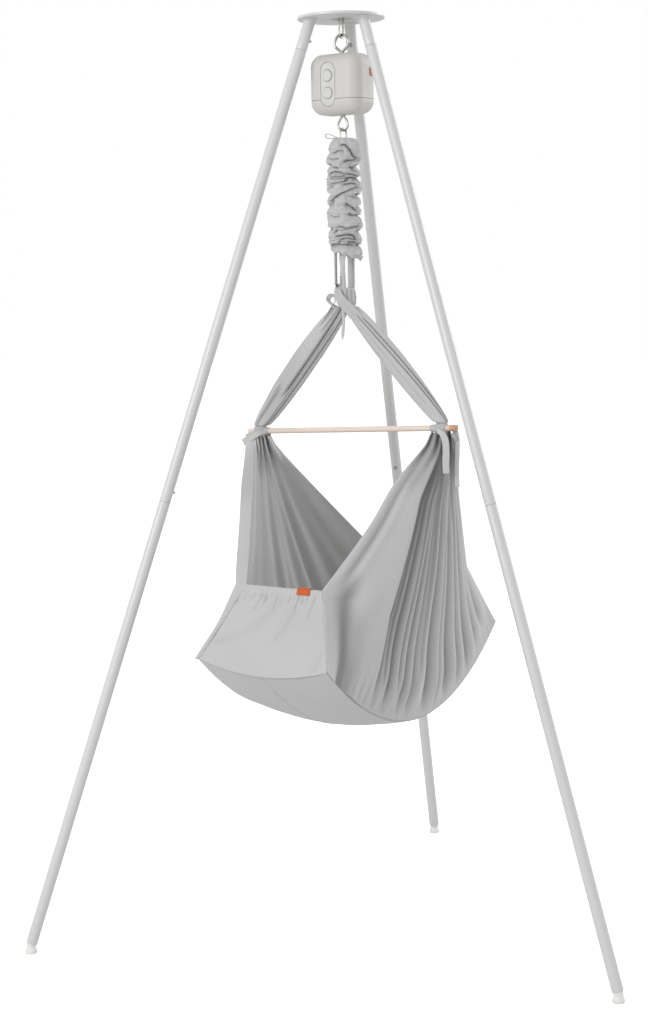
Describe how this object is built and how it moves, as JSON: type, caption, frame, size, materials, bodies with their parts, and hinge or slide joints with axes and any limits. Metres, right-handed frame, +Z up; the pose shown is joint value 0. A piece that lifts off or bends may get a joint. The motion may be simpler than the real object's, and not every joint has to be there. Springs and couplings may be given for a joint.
{
  "type": "hanging baby cradle",
  "caption": "Hanging cloth baby cradle with a spreader bar, a sprung motor lift unit in a case and a tripod tube stand.",
  "frame": {"origin": "floor under the middle of the stand's footprint box", "axes": "+X along the spreader bar, +Y along the cradle away from the front panel, +Z up; the control panel faces -Y"},
  "size_m": [1.2526, 1.2876, 2.0358],
  "materials": {
    "coated_steel": "satin light grey powder coat",
    "bright_steel": "bright zinc-plated wire",
    "dark_steel": "plain steel",
    "foot_rubber": "near-white moulded rubber",
    "case_plastic": "fine-textured warm grey moulding",
    "panel_plastic": "smooth warm grey moulding",
    "orange_plastic": "plain orange tab",
    "orange_tape": "plain orange woven tape",
    "board_green": "circuit board",
    "battery_grey": "wrapped cells",
    "gear_white": "moulded gear plastic",
    "cotton": "light grey woven cotton",
    "cotton_tape": "light grey woven tape",
    "beech": "pale beech, clear matt oil",
    "filling": "off-white quilted pad"
  },
  "bodies": {
    "stand": {"top_plate": "coated_steel", "hanger_pin": "dark_steel", "leg_socket_1": "coated_steel", "leg_socket_2": "coated_steel", "leg_socket_3": "coated_steel", "upper_leg_1": "coated_steel", "upper_leg_2": "coated_steel", "upper_leg_3": "coated_steel", "lower_leg_1": "coated_steel", "lower_leg_2": "coated_steel", "lower_leg_3": "coated_steel", "foot_1": "foot_rubber", "foot_2": "foot_rubber", "foot_3": "foot_rubber"},
    "upper_snap_1": {"upper_snap_button_1": "bright_steel"},
    "upper_snap_2": {"upper_snap_button_2": "bright_steel"},
    "upper_snap_3": {"upper_snap_button_3": "bright_steel"},
    "lower_snap_1": {"lower_snap_button_1": "bright_steel"},
    "lower_snap_2": {"lower_snap_button_2": "bright_steel"},
    "lower_snap_3": {"lower_snap_button_3": "bright_steel"},
    "hanger": {"hanger_link": "bright_steel"},
    "motor_unit": {"top_eye": "bright_steel", "eye_nut": "dark_steel", "motor_housing": "case_plastic", "motor_base": "case_plastic", "control_panel": "panel_plastic", "side_tag": "orange_plastic", "inner_frame": "dark_steel", "gear_motor": "dark_steel", "circuit_board": "board_green", "battery_pack": "battery_grey"},
    "up_button": {"up_key": "panel_plastic"},
    "down_button": {"down_key": "panel_plastic"},
    "drive_gear": {"pinion": "gear_white"},
    "lift": {"lift_rack": "gear_white", "lift_eye": "bright_steel"},
    "spring_unit": {"spring_link": "bright_steel", "coil_spring": "bright_steel", "spring_cover": "cotton", "cover_cord": "cotton_tape"},
    "cradle": {"lower_ring": "bright_steel", "carabiner": "bright_steel", "sling_band": "cotton_tape", "safety_band": "cotton_tape", "sling_knot": "cotton", "hanging_ribbon": "cotton_tape", "strap_left": "cotton", "strap_right": "cotton", "spreader_bar": "beech", "bar_tie_left": "cotton_tape", "bar_tie_right": "cotton_tape", "wall_left": "cotton", "wall_right": "cotton", "base_panel": "cotton", "mattress": "filling", "front_panel": "cotton", "back_panel": "cotton", "front_tab": "orange_tape"},
    "gate": {"carabiner_gate": "bright_steel"}
  },
  "joints": [
    {"name": "upper_snap_press_1", "type": "slide", "parent": "stand", "child": "upper_snap_1", "axis": [0.9267, -0.197, 0.3202], "range_m": [0, 0.0058], "stiffness_N_per_m": 800, "springref_m": -0.002},
    {"name": "upper_snap_press_2", "type": "slide", "parent": "stand", "child": "upper_snap_2", "axis": [-0.2928, 0.901, 0.3202], "range_m": [0, 0.0058], "stiffness_N_per_m": 800, "springref_m": -0.002},
    {"name": "upper_snap_press_3", "type": "slide", "parent": "stand", "child": "upper_snap_3", "axis": [-0.6339, -0.704, 0.3202], "range_m": [0, 0.0058], "stiffness_N_per_m": 800, "springref_m": -0.002},
    {"name": "lower_snap_press_1", "type": "slide", "parent": "stand", "child": "lower_snap_1", "axis": [0.9267, -0.197, 0.3202], "range_m": [0, 0.0058], "stiffness_N_per_m": 800, "springref_m": -0.002},
    {"name": "lower_snap_press_2", "type": "slide", "parent": "stand", "child": "lower_snap_2", "axis": [-0.2928, 0.901, 0.3202], "range_m": [0, 0.0058], "stiffness_N_per_m": 800, "springref_m": -0.002},
    {"name": "lower_snap_press_3", "type": "slide", "parent": "stand", "child": "lower_snap_3", "axis": [-0.6339, -0.704, 0.3202], "range_m": [0, 0.0058], "stiffness_N_per_m": 800, "springref_m": -0.002},
    {"name": "hanger_swing", "type": "hinge", "parent": "stand", "child": "hanger", "pos_m": [-0.11502, -0.07739, 2.0275], "axis": [1, 0, 0], "range_deg": [-3, 3]},
    {"name": "motor_swing", "type": "hinge", "parent": "hanger", "child": "motor_unit", "pos_m": [-0.11502, -0.07739, 1.9785], "axis": [0, 1, 0], "range_deg": [-3, 3]},
    {"name": "up_key_press", "type": "slide", "parent": "motor_unit", "child": "up_button", "axis": [0, 1, 0], "range_m": [0, 0.001], "stiffness_N_per_m": 1500, "springref_m": -0.001},
    {"name": "down_key_press", "type": "slide", "parent": "motor_unit", "child": "down_button", "axis": [0, 1, 0], "range_m": [0, 0.001], "stiffness_N_per_m": 1500, "springref_m": -0.001},
    {"name": "lift_slide", "type": "slide", "parent": "motor_unit", "child": "lift", "axis": [0, 0, 1], "range_m": [-0.016, 0]},
    {"name": "drive_gear_turn", "type": "hinge", "parent": "motor_unit", "child": "drive_gear", "pos_m": [-0.1025, -0.07739, 1.8787], "axis": [0, 1, 0], "range_deg": [-115, 0]},
    {"name": "spring_swivel", "type": "hinge", "parent": "lift", "child": "spring_unit", "pos_m": [-0.11502, -0.07739, 1.782], "axis": [0, 0, 1], "range_deg": [-20, 20]},
    {"name": "cradle_bounce", "type": "slide", "parent": "spring_unit", "child": "cradle", "axis": [0, 0, 1], "range_m": [-0.12, 0.04], "stiffness_N_per_m": 500, "springref_m": 0.0426, "deforming": ["coil_spring", "spring_cover"]},
    {"name": "gate_open", "type": "hinge", "parent": "cradle", "child": "gate", "pos_m": [-0.13202, -0.06689, 1.4685], "axis": [1, 0, 0], "range_deg": [0, 25], "stiffness_Nm_per_rad": 0.02, "springref_deg": -20.05}
  ],
  "couplings": [
    {"joint": "drive_gear_turn", "follows": "lift_slide", "rad_per_m": 124.67}
  ]
}
